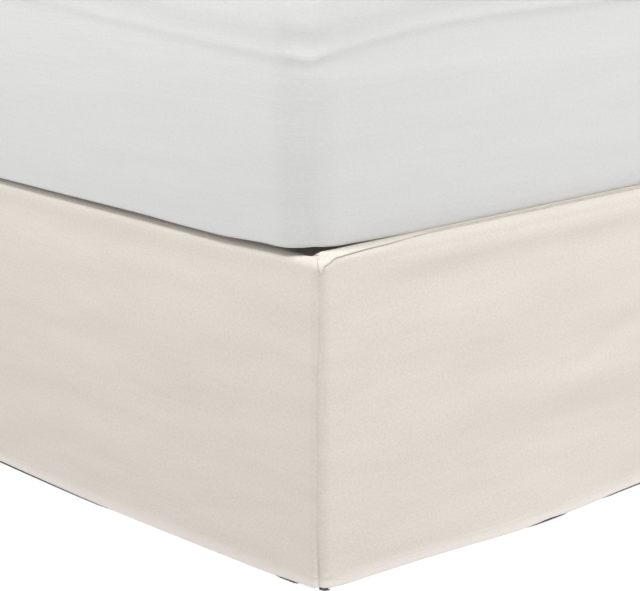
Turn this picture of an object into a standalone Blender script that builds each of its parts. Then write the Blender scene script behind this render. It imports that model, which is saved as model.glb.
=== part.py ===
"""A tailored bed skirt on a queen bed base, held down by the mattress.

Metres, +Z up. The bed stands on the floor at z = 0. Its foot faces -Y and its head faces +Y.
The skirt is a deck that lies between base and mattress, with three drops: foot, right and left.
The drops meet at the two foot corners, where the foot drop turns in behind each side drop.
"""

import math
from collections import namedtuple

import bmesh
import bpy
from mathutils import Vector

# Bed
BED_WIDTH = 1.524
BED_LENGTH = 2.032
GAP = 0.0003  # between pieces that lie on each other

# Skirt
CLOTH = 0.0015  # thickness of the cloth
DECK_TOP = 0.385  # upper face of the deck above the floor
SKIRT_EASE = 0.006  # how far the drops hang outside the bed's nominal sides
EDGE_RADIUS = 0.010  # cloth's roll over the upper edge of the base
SEAM_INSET = 0.012  # from a drop's face in to its seam with the deck
CORNER_RADIUS = 0.018  # of the cloth round a foot corner, seen from above
HEM_LIFT = 0.003  # hem above the floor
HEM_DEPTH = 0.013
HEM_STEP = 0.0006  # how far the turned hem stands out from the cloth above it
HEM_STEP_RUN = 0.0016
CORNER_SLIT = 0.00025  # either side of the middle of a foot corner, where two drops meet
FLAP_LENGTH = 0.030  # of the foot drop's turned-in end, behind a side drop
SEAM_MARGIN = 0.0012  # narrow row of cloth along the deck seam
ROLL_ROWS = 6  # rows of cloth from the seam margin down to ROLL_END
ROLL_END = 0.026  # measured along the cloth from the seam's inset
DROP_HEIGHTS = (0.345, 0.325, 0.295, 0.258, 0.218, 0.178, 0.140, 0.104, 0.070, 0.040)
COLUMN_PITCH = 0.062  # between columns of a drop's straight run
LIP_ROWS = 3  # rows of the deck's lip over the right edge, above its seam margin
WAVE_FADE_TOP = 0.012  # the waves start below the roll and fade in over this height
WAVE_FADE_CORNER = 0.11  # and over this length from a foot corner
GROOVE_FADE = 0.030  # height over which the corner groove opens below the roll
GROOVE_HEM = 0.090  # it widens again from this height down to the hem
CORNER_COLUMNS = (0.030, 0.050, 0.080)  # closer columns next to a corner
SLIP_COLUMNS = (0.030, 0.055, 0.080, 0.110, 0.150, 0.185)  # and along the slipped seam

# Mattress
MATTRESS_HEIGHT = 0.330
MATTRESS_CORNER = 0.050
MATTRESS_SHIFT = Vector((-0.014, -0.012))  # it lies a little towards the left and the foot
RIM_LIFT = 0.0027  # of the mattress's lower rim above the deck
CORNER_LIFT = 0.003  # how much higher the rim is at a corner
RIDGE_HEIGHT = 0.613  # piping between the side wall and the pillow top
RIDGE_DIP = 0.017  # how much lower the piping runs at a corner
CORNER_REACH = 0.11  # how far from a corner the rim and the piping are bent
CORNER_PINCH = 0.012  # crease down each corner of the pillow top
PINCH_REACH = 0.030
CORNER_STEPS = 6
SIDE_STEPS = 9
CROWN_START = 0.045  # deeper in than this, the rows shrink towards the middle

# Box spring
SPRING_INSET = 0.005  # inside the bed's nominal sides
SPRING_HEIGHT = 0.203
SPRING_EDGE = 0.012
SPRING_CORNER = 0.030

# Frame
RAIL_WIDTH = 0.030
RAIL_HEIGHT = 0.040
RAIL_INSET = 0.045  # from the bed's nominal side to a side rail's middle
RAIL_EDGE = 0.003
LEG_RADIUS = 0.019
LEG_SIDES = 20
LEG_ROWS = (-0.900, 0.0, 0.900)

HALF_WIDTH = BED_WIDTH / 2 + SKIRT_EASE  # outer face of a side drop
FOOT_FACE = BED_LENGTH / 2 + SKIRT_EASE  # outer face of the foot drop
HEAD_END = BED_LENGTH / 2
BASE_TOP = DECK_TOP - CLOTH - GAP
SPRING_BOTTOM = BASE_TOP - SPRING_HEIGHT
RAIL_TOP = SPRING_BOTTOM - GAP
RAIL_BOTTOM = RAIL_TOP - RAIL_HEIGHT

# A soft wave in a drop. at: distance from the drop's first corner. slant: rise per metre along.
Wave = namedtuple("Wave", "at height half_length half_height slant depth")

FOOT_WAVES = (
    Wave(0.20, 0.352, 0.25, 0.010, 0.00, -0.0018),
    Wave(0.52, 0.343, 0.20, 0.014, 0.00, -0.0035),
    Wave(0.16, 0.285, 0.17, 0.035, 0.05, 0.0022),
    Wave(0.46, 0.235, 0.16, 0.040, 0.04, 0.0020),
    Wave(0.17, 0.200, 0.18, 0.032, 0.05, -0.0026),
    Wave(0.12, 0.155, 0.10, 0.030, 0.00, 0.0030),
    Wave(0.32, 0.145, 0.18, 0.030, 0.05, 0.0028),
    Wave(0.63, 0.112, 0.05, 0.025, 0.00, 0.0022),
    Wave(0.13, 0.072, 0.11, 0.034, -0.05, -0.0045),
    Wave(0.63, 0.072, 0.05, 0.030, 0.00, -0.0055),
    Wave(0.24, 0.000, 0.30, 0.050, 0.00, 0.0068),
    Wave(0.62, 0.000, 0.22, 0.050, 0.00, 0.0040),
    Wave(0.95, 0.348, 0.25, 0.014, 0.00, -0.0032),
    Wave(0.86, 0.250, 0.20, 0.040, -0.05, 0.0028),
    Wave(0.90, 0.170, 0.18, 0.032, 0.05, -0.0030),
    Wave(1.02, 0.095, 0.16, 0.034, 0.00, -0.0045),
    Wave(1.05, 0.000, 0.20, 0.055, 0.00, 0.0100),
    Wave(1.30, 0.260, 0.14, 0.040, 0.05, 0.0030),
    Wave(1.33, 0.340, 0.14, 0.014, 0.00, -0.0028),
    Wave(1.36, 0.110, 0.10, 0.040, 0.00, -0.0040),
    Wave(1.34, 0.000, 0.12, 0.050, 0.00, 0.0065),
)
RIGHT_WAVES = (
    Wave(0.075, 0.332, 0.045, 0.014, 0.00, -0.0032),
    Wave(0.27, 0.310, 0.14, 0.022, 0.05, -0.0034),
    Wave(0.56, 0.318, 0.16, 0.022, 0.00, -0.0030),
    Wave(0.26, 0.262, 0.20, 0.026, 0.00, 0.0022),
    Wave(0.46, 0.232, 0.18, 0.026, 0.00, -0.0020),
    Wave(0.36, 0.172, 0.24, 0.034, -0.10, 0.0048),
    Wave(0.36, 0.085, 0.22, 0.034, -0.12, -0.0052),
    Wave(0.57, 0.062, 0.05, 0.026, 0.00, -0.0038),
    Wave(0.21, 0.000, 0.09, 0.050, 0.00, 0.0035),
    Wave(0.36, 0.000, 0.17, 0.055, 0.00, 0.0185),
    Wave(0.70, 0.000, 0.14, 0.050, 0.00, 0.0060),
    Wave(0.92, 0.325, 0.24, 0.020, 0.00, -0.0036),
    Wave(0.84, 0.230, 0.22, 0.040, 0.06, 0.0040),
    Wave(0.90, 0.110, 0.18, 0.036, 0.05, -0.0052),
    Wave(0.98, 0.000, 0.18, 0.060, 0.00, 0.0145),
    Wave(1.36, 0.318, 0.22, 0.022, 0.00, -0.0030),
    Wave(1.26, 0.200, 0.20, 0.040, -0.05, 0.0042),
    Wave(1.34, 0.085, 0.16, 0.036, 0.00, -0.0048),
    Wave(1.44, 0.000, 0.18, 0.055, 0.00, 0.0130),
    Wave(1.74, 0.322, 0.18, 0.020, 0.00, -0.0028),
    Wave(1.72, 0.220, 0.18, 0.045, 0.06, 0.0042),
    Wave(1.80, 0.000, 0.14, 0.060, 0.00, 0.0110),
)
LEFT_WAVES = (
    Wave(0.30, 0.330, 0.26, 0.020, 0.00, -0.0034),
    Wave(0.26, 0.220, 0.20, 0.045, 0.06, 0.0042),
    Wave(0.30, 0.095, 0.17, 0.038, -0.06, -0.0050),
    Wave(0.33, 0.000, 0.16, 0.060, 0.00, 0.0150),
    Wave(0.66, 0.200, 0.18, 0.042, -0.05, 0.0038),
    Wave(0.84, 0.326, 0.24, 0.020, 0.00, -0.0032),
    Wave(0.80, 0.000, 0.16, 0.055, 0.00, 0.0120),
    Wave(1.10, 0.235, 0.24, 0.045, 0.05, 0.0042),
    Wave(1.16, 0.100, 0.18, 0.038, 0.05, -0.0052),
    Wave(1.22, 0.000, 0.19, 0.060, 0.00, 0.0155),
    Wave(1.42, 0.322, 0.24, 0.022, 0.00, -0.0034),
    Wave(1.60, 0.200, 0.18, 0.042, -0.05, 0.0038),
    Wave(1.74, 0.000, 0.18, 0.055, 0.00, 0.0120),
)

# Where the deck's seam lies on the right side: it slips over the edge next to the foot corner.
Slip = namedtuple("Slip", "distance length")
RIGHT_SEAM = (
    Slip(0.000, 0.0128),
    Slip(0.018, 0.0103),
    Slip(0.055, 0.0077),
    Slip(0.110, 0.0060),
    Slip(0.150, 0.0030),
    Slip(0.185, 0.0000),
)

# The cloth's radius round a foot corner, by angle from the foot drop's face towards the side drop's.
Turn = namedtuple("Turn", "angle dip shift")
FOOT_TURNS = (
    Turn(0, 0.0, 0.0),
    Turn(14, 0.0, 0.0),
    Turn(26, 0.0006, 0.0),
    Turn(36, 0.0018, 0.0),
    Turn(44.5, 0.0034, -CORNER_SLIT),
)
FLAP_TURNS = (
    Turn(52, 0.0040, 0.0),
    Turn(64, 0.0038, 0.0),
    Turn(77, 0.0032, 0.0),
    Turn(90, 0.0028, 0.0),
)
SIDE_TURNS = (
    Turn(46, 0.0012, CORNER_SLIT),
    Turn(53, 0.0004, 0.0),
    Turn(64, 0.0, 0.0),
    Turn(77, 0.0, 0.0),
    Turn(90, 0.0, 0.0),
)

COLORS = {
    "skirt_cloth": (0.71, 0.66, 0.60),
    "white_sheet": (0.80, 0.80, 0.79),
    "spring_cover": (0.62, 0.61, 0.58),
    "frame_metal": (0.05, 0.05, 0.055),
}
ROUGHNESS = {"skirt_cloth": 0.90, "white_sheet": 0.88, "spring_cover": 0.92, "frame_metal": 0.45}
METALLIC = {"frame_metal": 0.6}

# A column of a drop: its place seen from above, its outward direction and its distance along.
Column = namedtuple("Column", "place outward along groove flap")


def clear_scene():
    for item in list(bpy.data.objects):
        bpy.data.objects.remove(item, do_unlink=True)


def make_material(name):
    material = bpy.data.materials.new(name)
    material.use_nodes = True
    shader = material.node_tree.nodes["Principled BSDF"]
    shader.inputs["Base Color"].default_value = (*COLORS[name], 1.0)
    shader.inputs["Roughness"].default_value = ROUGHNESS[name]
    shader.inputs["Metallic"].default_value = METALLIC.get(name, 0.0)
    return material


def add_object(name, mesh, material, collection):
    piece = bpy.data.objects.new(name, mesh)
    piece.data.materials.append(material)
    collection.objects.link(piece)
    return piece


def smooth_step(value):
    t = min(max(value, 0.0), 1.0)
    return t * t * (3 - 2 * t)


def between_rows(table, x):
    """The second column of a table at x, with straight lines between its rows."""
    if x <= table[0][0]:
        return table[0][1]
    for (x0, y0), (x1, y1) in zip(table, table[1:]):
        if x <= x1:
            return y0 + (y1 - y0) * (x - x0) / (x1 - x0)
    return table[-1][1]


def wave_depth(waves, along, height):
    """How far a drop stands out from its plane at a place."""
    total = 0.0
    for wave in waves:
        across = (along - wave.at) / wave.half_length
        level = wave.height + wave.slant * (along - wave.at)
        total += wave.depth * math.exp(-across * across - ((height - level) / wave.half_height) ** 2)
    return total


def even_steps(start, end, count):
    """Values from start to end, both included."""
    return [start + (end - start) * k / count for k in range(count + 1)]


def over_edge(length):
    """Inward distance and fall below the deck, at a length along the cloth from the seam inset."""
    flat = SEAM_INSET - EDGE_RADIUS
    if length <= flat:
        return SEAM_INSET - length, 0.0
    angle = (length - flat) / EDGE_RADIUS
    if angle <= math.pi / 2:
        return EDGE_RADIUS * (1 - math.sin(angle)), EDGE_RADIUS * (1 - math.cos(angle))
    return 0.0, EDGE_RADIUS * (1 + angle - math.pi / 2)


def corner_point(turn, dip):
    """Place and outward direction round the right foot corner, kept clear of the corner's middle."""
    angle = math.radians(turn.angle)
    direction = Vector((math.sin(angle), -math.cos(angle)))
    onward = Vector((math.cos(angle), math.sin(angle)))
    centre = Vector((HALF_WIDTH - CORNER_RADIUS, -FOOT_FACE + CORNER_RADIUS))
    return centre + direction * (CORNER_RADIUS - dip) + onward * turn.shift, direction


def straight_columns(start, end, closer, closer_at_end):
    """Distances of a drop's columns along its straight run."""
    first = [start] + list(closer)
    last = [end - d for d in reversed(CORNER_COLUMNS)] + [end - start] if closer_at_end else [end]
    span = last[0] - first[-1]
    count = round(span / COLUMN_PITCH)
    middle = [first[-1] + span * k / count for k in range(1, count)]
    return first + middle + last


def mirrored(column, along):
    """The same column on the bed's left half, at its own distance along."""
    place = Vector((-column.place.x, column.place.y))
    outward = Vector((-column.outward.x, column.outward.y))
    return Column(place, outward, along, column.groove, column.flap)


def foot_corner_columns():
    """The foot drop's columns round the right corner, from its face into the flap behind the side drop."""
    columns = []
    for turn in FOOT_TURNS[1:]:
        place, outward = corner_point(turn, 0.0)
        columns.append(Column(place, outward, 0.0, turn.dip, False))
    for turn in FLAP_TURNS:
        place, outward = corner_point(turn, turn.dip)
        columns.append(Column(place, outward, 0.0, 0.0, True))
    end = columns[-1]
    for share in (0.5, 1.0):
        place = end.place + Vector((0.0, FLAP_LENGTH * share))
        columns.append(Column(place, end.outward, 0.0, 0.0, True))
    return columns


def foot_columns():
    """All columns of the foot drop, from the left flap's end to the right flap's end."""
    span = 2 * HALF_WIDTH
    right = foot_corner_columns()
    run = [
        Column(Vector((HALF_WIDTH - along, -FOOT_FACE)), Vector((0.0, -1.0)), along, 0.0, False)
        for along in straight_columns(CORNER_RADIUS, span, CORNER_COLUMNS, True)
    ]
    left = [mirrored(column, span) for column in right]
    return list(reversed(left)) + list(reversed(run)) + right


def side_columns(closer):
    """The right drop's columns, from the foot corner to the head."""
    columns = []
    for turn in SIDE_TURNS:
        place, outward = corner_point(turn, 0.0)
        columns.append(Column(place, outward, 0.0, turn.dip, False))
    for along in straight_columns(CORNER_RADIUS, FOOT_FACE + HEAD_END, closer, False)[1:]:
        place = Vector((HALF_WIDTH, -FOOT_FACE + along))
        columns.append(Column(place, Vector((1.0, 0.0)), along, 0.0, False))
    return columns


def groove_share(height):
    """The corner groove opens below the roll and is widest at the hem."""
    opening = smooth_step((DECK_TOP - EDGE_RADIUS - height) / GROOVE_FADE)
    return opening * (0.85 + 0.45 * smooth_step(1 - height / GROOVE_HEM))


def drop_heights():
    """Heights of a drop's rows below the roll, down to the hem."""
    hem_top = HEM_LIFT + HEM_DEPTH
    return list(DROP_HEIGHTS) + [hem_top + HEM_STEP_RUN, hem_top, HEM_LIFT]


def drop_point(column, height, waves, far_corner):
    """A point of a drop's outer face below the roll."""
    below_roll = smooth_step((DECK_TOP - EDGE_RADIUS - height) / WAVE_FADE_TOP)
    corner_distance = min(column.along, far_corner - column.along) - CORNER_RADIUS
    out = wave_depth(waves, column.along, height) * below_roll
    out *= smooth_step(corner_distance / WAVE_FADE_CORNER)
    out -= column.groove * groove_share(height)
    if height <= HEM_LIFT + HEM_DEPTH and not column.flap:
        out += HEM_STEP
    place = column.place + column.outward * out
    return Vector((place.x, place.y, height))


def roll_point(column, length):
    """A point of the cloth's outer face where it rolls over the edge of the base."""
    inward, fall = over_edge(length)
    place = column.place - column.outward * inward
    return Vector((place.x, place.y, DECK_TOP - fall))


def drop_rows(column, waves, far_corner, seam_length):
    """One column of a drop, from its seam with the deck over the roll and down to the hem."""
    start = seam_length(column.along) + GAP
    rows = []
    for length in [start] + even_steps(start + SEAM_MARGIN, ROLL_END, ROLL_ROWS):
        inward, fall = over_edge(length)
        if inward > 0.0:
            rows.append(roll_point(column, length))
        else:
            rows.append(drop_point(column, DECK_TOP - fall, waves, far_corner))
    return rows + [drop_point(column, height, waves, far_corner) for height in drop_heights()]


def drop_mesh(name, columns, waves, far_corner, seam_length):
    """A drop as an open sheet. Its flaps start below the roll."""
    sheet = bmesh.new()
    grid = {}
    for i, column in enumerate(columns):
        for j, point in enumerate(drop_rows(column, waves, far_corner, seam_length)):
            if not column.flap or j >= ROLL_ROWS:
                grid[i, j] = sheet.verts.new(point)
    for i, j in list(grid):
        corners = ((i, j), (i, j + 1), (i + 1, j + 1), (i + 1, j))
        if all(corner in grid for corner in corners):
            sheet.faces.new([grid[corner] for corner in corners])
    return finished_mesh(name, sheet)


def finished_mesh(name, sheet):
    mesh = bpy.data.meshes.new(name)
    for face in sheet.faces:
        face.smooth = True
    sheet.to_mesh(mesh)
    sheet.free()
    return mesh


def thicken(piece):
    """Gives a sheet its thickness, inwards from its outer face."""
    solidify = piece.modifiers.new("thickness", "SOLIDIFY")
    solidify.thickness = CLOTH
    solidify.offset = -1.0
    solidify.use_even_offset = True
    return piece


def on_top(_along):
    """The seam lies on top of the base."""
    return 0.0


def right_seam(along):
    return between_rows(RIGHT_SEAM, along)


def mirror_mesh(mesh):
    """The mesh on the bed's other half."""
    for vertex in mesh.vertices:
        vertex.co.x = -vertex.co.x
    mesh.flip_normals()
    return mesh


def add_drops(cloth, collection):
    foot = drop_mesh("drop_foot", foot_columns(), FOOT_WAVES, 2 * HALF_WIDTH, on_top)
    right = drop_mesh("drop_right", side_columns(SLIP_COLUMNS), RIGHT_WAVES, math.inf, right_seam)
    left = drop_mesh("drop_left", side_columns(CORNER_COLUMNS), LEFT_WAVES, math.inf, on_top)
    thicken(add_object("drop_foot", foot, cloth, collection))
    thicken(add_object("drop_right", right, cloth, collection))
    thicken(add_object("drop_left", mirror_mesh(left), cloth, collection))


def lip_points(column):
    """The deck's lip from the top of the base down to its slipped seam, where there is one."""
    length = right_seam(column.along)
    if length == 0.0:
        return []
    lengths = even_steps(0.0, length - SEAM_MARGIN, LIP_ROWS)[1:] + [length]
    return [roll_point(column, lip_length) for lip_length in lengths]


def add_deck(cloth, collection):
    """The flat deck, as a ladder of cross strips, with the lip that slips over the right edge."""
    foot_arc = [Column(*corner_point(turn, 0.0), 0.0, 0.0, False) for turn in FOOT_TURNS]
    ladder = [(column, []) for column in foot_arc]
    ladder += [(column, lip_points(column)) for column in side_columns(SLIP_COLUMNS)]
    sheet = bmesh.new()
    previous = None
    for column, lip in ladder:
        place = column.place - column.outward * (SEAM_INSET + GAP)
        row = [sheet.verts.new((-place.x, place.y, DECK_TOP)), sheet.verts.new((place.x, place.y, DECK_TOP))]
        row += [sheet.verts.new(point) for point in lip]
        for k in range(min(len(previous), len(row)) - 1 if previous else 0):
            sheet.faces.new((previous[k], previous[k + 1], row[k + 1], row[k]))
        if previous and len(previous) > len(row):
            for k in range(len(row) - 1, len(previous) - 1):
                sheet.faces.new((previous[k], previous[k + 1], row[-1]))
        previous = row
    return thicken(add_object("deck", finished_mesh("deck", sheet), cloth, collection))


def mattress_outline():
    """Stations round the mattress: place, outward direction and distance from the nearest corner."""
    half = Vector((BED_WIDTH / 2, BED_LENGTH / 2))
    arc_step = math.radians(90 / CORNER_STEPS)
    half_arc = MATTRESS_CORNER * math.pi / 4
    stations = []
    for quarter in range(4):
        sign = Vector((1 if quarter in (0, 3) else -1, 1 if quarter in (0, 1) else -1))
        centre = Vector(((half.x - MATTRESS_CORNER) * sign.x, (half.y - MATTRESS_CORNER) * sign.y))
        for step in range(CORNER_STEPS + 1):
            angle = math.pi / 2 * quarter + arc_step * step
            outward = Vector((math.cos(angle), math.sin(angle)))
            away = abs(step - CORNER_STEPS / 2) * arc_step * MATTRESS_CORNER
            stations.append((centre + outward * MATTRESS_CORNER, outward, away))
        onward = Vector((-outward.y, outward.x))
        start = stations[-1][0]
        run = 2 * (half.y if quarter in (1, 3) else half.x) - 2 * MATTRESS_CORNER
        for k in range(1, SIDE_STEPS):
            distance = run * (0.5 - 0.5 * math.cos(math.pi * k / SIDE_STEPS))
            stations.append((start + onward * distance, outward, min(distance, run - distance) + half_arc))
    return stations


# A row of the mattress, from its underside to its crown. dip, pinch and lift are shares.
Ring = namedtuple("Ring", "inset height dip pinch lift")


def mattress_rings():
    low = DECK_TOP + GAP
    top = low + MATTRESS_HEIGHT
    ridge = RIDGE_HEIGHT
    return (
        Ring(0.100, low, 0.0, 0.0, 0.0),
        Ring(0.040, low, 0.0, 0.0, 0.4),
        Ring(0.005, low, 0.0, 0.0, 1.0),
        Ring(0.0005, low + 0.002, 0.0, 0.0, 1.0),
        Ring(0.000, low + 0.006, 0.0, 0.0, 1.0),
        Ring(-0.002, low + 0.080, 0.0, 0.0, 0.3),
        Ring(-0.001, ridge - 0.050, 0.8, 0.0, 0.0),
        Ring(0.001, ridge - 0.012, 1.0, 0.0, 0.0),
        Ring(-0.003, ridge, 1.0, 0.1, 0.0),
        Ring(0.002, ridge + 0.010, 1.0, 0.6, 0.0),
        Ring(-0.002, ridge + 0.032, 0.8, 1.0, 0.0),
        Ring(0.005, ridge + 0.062, 0.5, 1.0, 0.0),
        Ring(0.022, top - 0.018, 0.1, 0.8, 0.0),
        Ring(0.060, top - 0.005, 0.0, 0.3, 0.0),
        Ring(0.200, top, 0.0, 0.0, 0.0),
    )


def mattress_point(ring, place, outward, away):
    at_corner = math.exp(-((away / CORNER_REACH) ** 2))
    pinch = CORNER_PINCH * math.exp(-((away / PINCH_REACH) ** 2))
    spot = place - outward * min(ring.inset + ring.pinch * pinch, CROWN_START)
    shrink = 1 - max(ring.inset - CROWN_START, 0.0) / (BED_WIDTH / 2)
    lift = ring.lift * (RIM_LIFT + CORNER_LIFT * at_corner)
    height = ring.height - ring.dip * RIDGE_DIP * at_corner + lift
    return (spot.x * shrink + MATTRESS_SHIFT.x, spot.y * shrink + MATTRESS_SHIFT.y, height)


def add_mattress(sheet_material, collection):
    """A filled mattress in its fitted sheet: raised rim underneath, piping, pillow top and crown."""
    body = bmesh.new()
    outline = mattress_outline()
    loops = []
    for ring in mattress_rings():
        loops.append([body.verts.new(mattress_point(ring, *station)) for station in outline])
    count = len(outline)
    for lower, upper in zip(loops, loops[1:]):
        for k in range(count):
            following = (k + 1) % count
            body.faces.new((lower[k], lower[following], upper[following], upper[k]))
    body.faces.new(list(reversed(loops[0])))
    body.faces.new(loops[-1])
    return add_object("mattress", finished_mesh("mattress", body), sheet_material, collection)


def new_box(name, size):
    shape = bmesh.new()
    bmesh.ops.create_cube(shape, size=1.0)
    bmesh.ops.scale(shape, vec=size, verts=shape.verts)
    mesh = bpy.data.meshes.new(name)
    shape.to_mesh(mesh)
    shape.free()
    return mesh


def round_upright_edges(mesh, radius):
    """Rounds a box's four upright edges."""
    shape = bmesh.new()
    shape.from_mesh(mesh)
    upright = [edge for edge in shape.edges if abs(edge.verts[0].co.z - edge.verts[1].co.z) > radius]
    bmesh.ops.bevel(shape, geom=upright, offset=radius, segments=4, profile=0.5, affect="EDGES")
    shape.to_mesh(mesh)
    shape.free()
    return mesh


def place_box(name, mesh, centre, edge, material, collection):
    """Puts a box in its place and rounds its remaining edges."""
    piece = add_object(name, mesh, material, collection)
    piece.location = centre
    bevel = piece.modifiers.new("edges", "BEVEL")
    bevel.width = edge
    bevel.segments = 3
    return piece


def add_box_spring(material, collection):
    size = (BED_WIDTH - 2 * SPRING_INSET, BED_LENGTH - 2 * SPRING_INSET, SPRING_HEIGHT)
    centre = (0.0, 0.0, SPRING_BOTTOM + SPRING_HEIGHT / 2)
    mesh = round_upright_edges(new_box("box_spring", size), SPRING_CORNER)
    return place_box("box_spring", mesh, centre, SPRING_EDGE, material, collection)


def add_leg(name, x, y, material, collection):
    height = RAIL_BOTTOM - GAP
    shape = bmesh.new()
    bmesh.ops.create_cone(
        shape, cap_ends=True, segments=LEG_SIDES, radius1=LEG_RADIUS, radius2=LEG_RADIUS, depth=height
    )
    mesh = bpy.data.meshes.new(name)
    shape.to_mesh(mesh)
    shape.free()
    leg = add_object(name, mesh, material, collection)
    leg.location = (x, y, height / 2)
    return leg


def add_frame(material, collection):
    rail_x = BED_WIDTH / 2 - RAIL_INSET
    rail_z = RAIL_BOTTOM + RAIL_HEIGHT / 2
    rail_size = (RAIL_WIDTH, BED_LENGTH - 2 * RAIL_INSET, RAIL_HEIGHT)
    cross_size = (2 * rail_x - RAIL_WIDTH - 2 * GAP, RAIL_WIDTH, RAIL_HEIGHT)
    for side, sign in (("left", -1), ("right", 1)):
        name = f"rail_{side}"
        place_box(name, new_box(name, rail_size), (sign * rail_x, 0.0, rail_z), RAIL_EDGE, material, collection)
    for place, y in zip(("foot", "middle", "head"), LEG_ROWS):
        name = f"cross_rail_{place}"
        place_box(name, new_box(name, cross_size), (0.0, y, rail_z), RAIL_EDGE, material, collection)
        add_leg(f"leg_left_{place}", -rail_x, y, material, collection)
        add_leg(f"leg_right_{place}", rail_x, y, material, collection)
    add_leg("leg_centre", 0.0, LEG_ROWS[1], material, collection)


def main():
    clear_scene()
    collection = bpy.data.collections.new("bed_skirt_on_bed")
    bpy.context.scene.collection.children.link(collection)
    cloth = make_material("skirt_cloth")
    metal = make_material("frame_metal")
    add_deck(cloth, collection)
    add_drops(cloth, collection)
    add_mattress(make_material("white_sheet"), collection)
    add_box_spring(make_material("spring_cover"), collection)
    add_frame(metal, collection)


main()
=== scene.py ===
"""Looks of a tailored bed skirt on a queen bed.

Metres, +Z up. The foot of the bed faces -Y. The photographed corner is at +X, -Y.
Cloth pieces are closed sheets on the folds of their solids, finer and with hems, seams and creases.
"""

import math
from collections import namedtuple

import bpy
import numpy as np
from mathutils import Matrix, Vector, noise

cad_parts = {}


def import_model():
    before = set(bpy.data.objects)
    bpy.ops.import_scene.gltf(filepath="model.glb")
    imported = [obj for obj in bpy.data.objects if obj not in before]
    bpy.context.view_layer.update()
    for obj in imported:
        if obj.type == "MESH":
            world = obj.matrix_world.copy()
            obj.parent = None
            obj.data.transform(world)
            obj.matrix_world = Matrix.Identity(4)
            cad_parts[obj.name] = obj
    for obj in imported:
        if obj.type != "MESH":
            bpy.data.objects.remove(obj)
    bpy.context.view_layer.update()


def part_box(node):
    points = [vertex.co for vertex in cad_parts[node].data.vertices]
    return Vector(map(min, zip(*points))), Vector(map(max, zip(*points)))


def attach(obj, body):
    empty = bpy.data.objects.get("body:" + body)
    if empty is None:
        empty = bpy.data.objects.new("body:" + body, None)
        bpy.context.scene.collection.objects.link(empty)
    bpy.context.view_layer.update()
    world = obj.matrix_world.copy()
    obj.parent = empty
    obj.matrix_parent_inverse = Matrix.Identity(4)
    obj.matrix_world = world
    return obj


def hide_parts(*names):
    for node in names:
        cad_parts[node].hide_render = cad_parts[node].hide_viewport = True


# Bed and skirt, as in the solids
BED_WIDTH = 1.524
BED_LENGTH = 2.032
CLOTH = 0.0015  # thickness
GAP = 0.0003  # between pieces that lie on each other
DECK_TOP = 0.385
HALF_WIDTH = 0.768  # outer face of a side drop
FOOT_FACE = 1.022  # outer face of the foot drop
HEAD_END = 1.016
EDGE_RADIUS = 0.010  # roll over the base's upper edge
SEAM_INSET = 0.012
CORNER_RADIUS = 0.018
FLAP_LENGTH = 0.030
FLAP_TURN = 49  # the foot drop turns in behind a side drop from here, in degrees
FLAP_DIP = 0.0028  # how far inside the corner's arc it runs in the end
FLAP_EASE = 0.0042  # and how much further inside it starts
FOOT_LAST_TURNS = (44.75, 44.9)  # the columns next to a corner's groove
SIDE_FIRST_TURNS = (45.15, 45.3, 46.4, 47.7)
HEM_LIFT = 0.003
HEM_EASE = 0.120  # how high up the cloth gives where its hem hangs lower
HEM_DEPTH = 0.013
HEM_STEP = 0.0006
HEM_STEP_RUN = 0.0016
ROLL_END = 0.026
WAVE_TOP = 0.004  # the waves start this far below the deck
WAVE_FADE_TOP = 0.018
WAVE_FADE_CORNER = 0.11
GROOVE_FADE = 0.030  # the length over which the corner's groove opens below the roll
GROOVE_DEPTH = 0.0030
GROOVE_REACH = 0.0036
GROOVE_HEM = 0.090  # it deepens from this height down to the hem
GROOVE_SHARES = (0.85, 0.45)  # of its depth above that height, and added at the floor

# Mattress, as in the solids
MATTRESS_HEIGHT = 0.330
MATTRESS_CORNER = 0.050
MATTRESS_SHIFT = (-0.014, -0.012)
RIDGE_HEIGHT = 0.613
CORNER_PINCH = 0.004
PINCH_REACH = 0.030
CROWN_START = 0.045

# Flat sizes of the skirt's sheets
DROP_WIDTHS = (1.60, 2.04, 2.04)  # foot, right, left
OPEN_END = 1e9  # in place of the distance to a second corner

# Fineness
FINE_PITCH = 0.003  # of cloth columns next to a corner
PITCH = 0.0075  # and further along
FINE_REACH = 0.03  # the columns are close together up to here
FINE_RUN = 0.08  # and have reached the wider pitch this much further on
ROLL_ROWS = 18
FIRST_ROW = 0.03  # share of the roll that the row next to the seam takes up
BODY_ROWS = 54
HEM_ROWS = 14
RIM_ROUNDING = 0.8  # how far a free edge stands out, as a share of half its thickness
TINY = 1e-12  # stands in for a length of 0 where one divides

# Sewing
STITCH_PITCH = 0.0042
STITCH_LENGTH = 0.0031
STITCH_RADIUS = 0.00034
HEM_STITCHES = (0.0072, 0.0098)  # two rows, above the hem's edge
STITCH_MARGIN = 0.002  # before a row's first stitch
STITCH_SHOULDERS = (0.22, 0.78)  # where along its length a stitch is at its thickest
STITCH_PROUD = 0.0001  # from the cloth's face to a stitch's middle
STITCH_VALLEY = 0.00028
STITCH_VALLEY_REACH = 0.0009
PUCKER = 0.00035
PUCKER_SIZE = (0.012, 0.02)
PUCKER_BAND = 0.010  # their middle above the hem's edge, and their reach
HEM_EXTRA = 0.0007  # thickness that a hem has more than plain cloth

# Studio
FLOOR_HALF = 14.0
FLOOR_GLOW = 0.93
FLOOR_TONE = 0.09
SHADE_TONE = 0.35  # of the floor under the bed, a patch without the floor's glow: painted shade
SHADE_LIFT = 0.0001  # of that floor over the pale one
SHADE_FADE = 0.5  # from this Y on, the floor under the bed glows more towards its open head end: painted light
WORLD_LOW = 0.80  # strength of the backdrop near the floor
WORLD_HIGH = 0.02  # and overhead
WORLD_BAND = (0.14, 0.30)  # rises of a sight line between which it fades
CAMERA_PLACE = (2.478, -2.589, 0.945)
CAMERA_HEADING = 137.5
CAMERA_PITCH = -14.5
CAMERA_LENS = 124.5


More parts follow.
